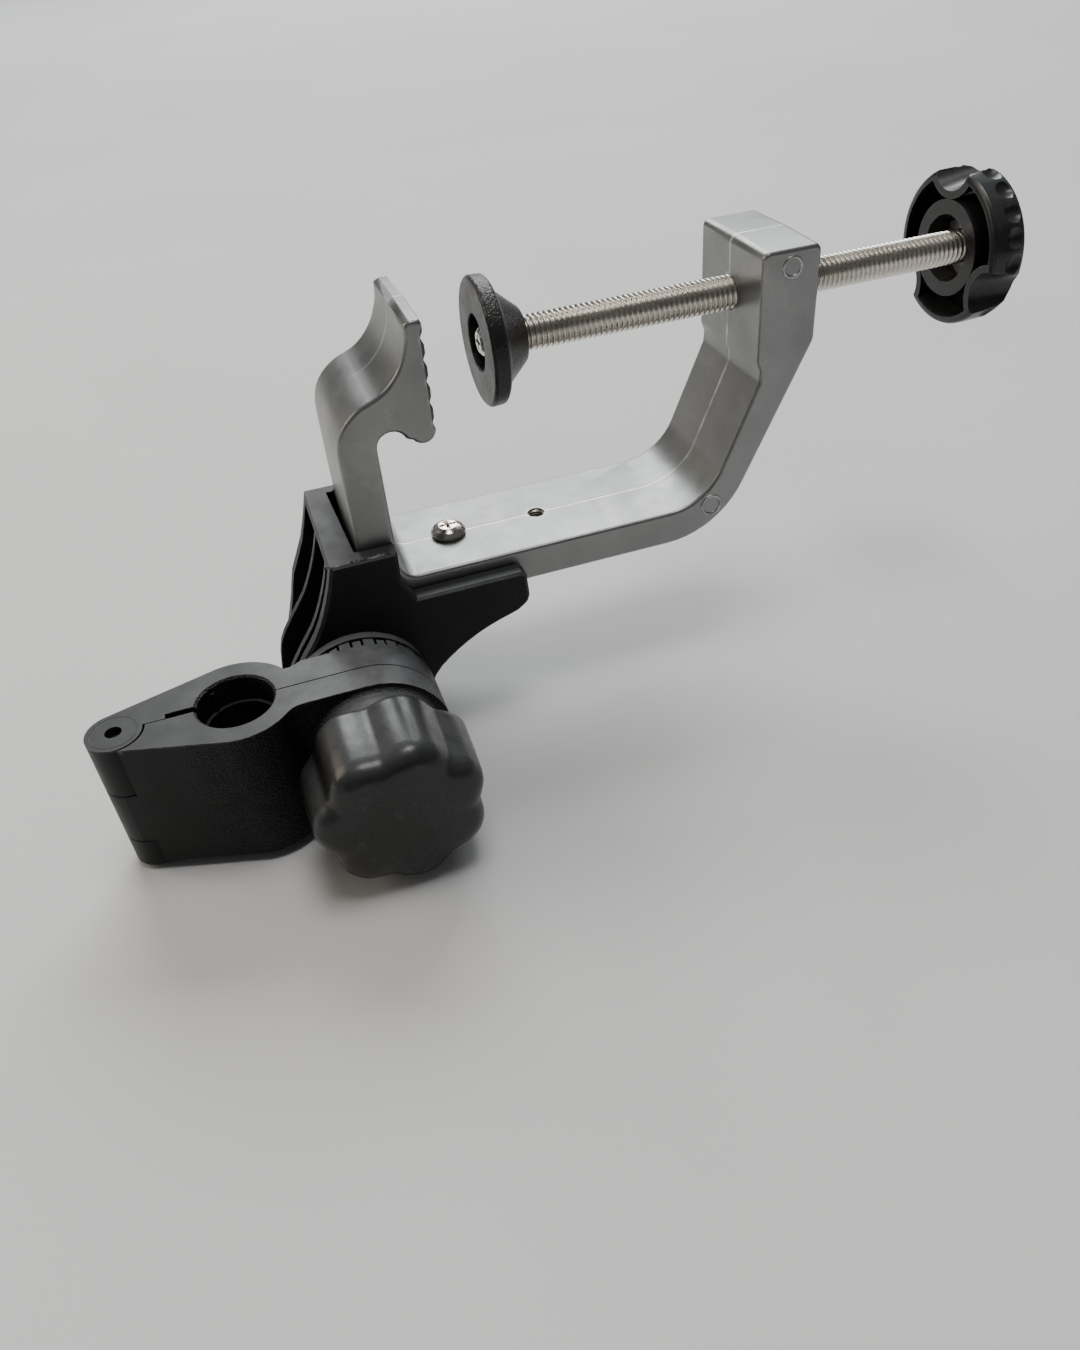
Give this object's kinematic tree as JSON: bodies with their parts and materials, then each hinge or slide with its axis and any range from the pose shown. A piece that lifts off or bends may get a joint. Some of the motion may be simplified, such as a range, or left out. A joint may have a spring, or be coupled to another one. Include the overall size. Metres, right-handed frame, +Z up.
{
  "type": "rod holder",
  "caption": "Clamp-on fishing rod holder mount: screw C-clamp with swivel pad, toothed tilt joint with lobed knob, and hinged two-part tube clamp.",
  "frame": {"origin": "middle of the clamp bar's flat upper face: midway along the throat and across the frame's width", "axes": "+Z up out of the bar's upper face, +X along the clamping screw towards its hand wheel, -Y towards the tube clamp and tilt knob"},
  "size_m": [0.2276, 0.085, 0.1047],
  "materials": {
    "silver_paint": "satin silver paint over a die casting",
    "nickel_steel": "bright plated steel, rolled thread",
    "bright_steel": "polished",
    "zinc_steel": "zinc plated",
    "brass_insert": "turned",
    "black_plastic": "satin moulded nylon, fine grain",
    "gloss_black": "semi-gloss, scuffed"
  },
  "bodies": {
    "base": {"clamp_frame": "silver_paint", "mounting_bracket": "black_plastic", "bracket_screw": "bright_steel", "bracket_nut": "zinc_steel", "joint_bolt": "zinc_steel", "bolt_washer": "zinc_steel", "release_spring": "zinc_steel"},
    "pad": {"clamp_pad": "black_plastic"},
    "screw": {"clamp_screw": "nickel_steel", "pad_washer": "zinc_steel", "pad_screw": "bright_steel", "hand_wheel": "gloss_black", "wheel_insert": "zinc_steel"},
    "release_carrier": {"thrust_washer": "zinc_steel"},
    "rear_half": {"rear_clamp_half": "black_plastic", "hinge_pin": "zinc_steel"},
    "front_half": {"front_clamp_half": "black_plastic"},
    "knob_carrier": {"knob_washer": "zinc_steel"},
    "knob": {"tilt_knob": "gloss_black", "knob_insert": "brass_insert"}
  },
  "joints": [
    {"name": "screw_feed", "type": "slide", "parent": "base", "child": "pad", "axis": [-1, 0, 0], "range_m": [-0.04875, 0.01375]},
    {"name": "screw_turn", "type": "hinge", "parent": "pad", "child": "screw", "pos_m": [0, 0, 0.0446], "axis": [-1, 0, 0], "range_deg": [-14040, 3960]},
    {"name": "tilt_release", "type": "slide", "parent": "base", "child": "release_carrier", "axis": [0, -1, 0], "range_m": [0, 0.004]},
    {"name": "tilt", "type": "hinge", "parent": "release_carrier", "child": "rear_half", "pos_m": [-0.0583, -0.033, -0.024], "axis": [0, -1, 0], "range_deg": [-240, 240]},
    {"name": "clamp_open", "type": "hinge", "parent": "rear_half", "child": "front_half", "pos_m": [-0.1102, -0.033, -0.024], "axis": [0, 0, -1], "range_deg": [0, 2.62]},
    {"name": "knob_feed", "type": "slide", "parent": "base", "child": "knob_carrier", "axis": [0, -1, 0], "range_m": [0, 0.0075]},
    {"name": "knob_turn", "type": "hinge", "parent": "knob_carrier", "child": "knob", "pos_m": [-0.0583, -0.055, -0.024], "axis": [0, -1, 0], "range_deg": [0, 2160]}
  ],
  "couplings": [
    {"joint": "screw_turn", "follows": "screw_feed", "rad_per_m": 5026.5},
    {"joint": "knob_turn", "follows": "knob_feed", "rad_per_m": 5026.5},
    {"joint": "tilt_release", "follows": "knob_feed", "ratio": 0.53333},
    {"joint": "clamp_open", "follows": "knob_feed", "rad_per_m": 6.096}
  ]
}
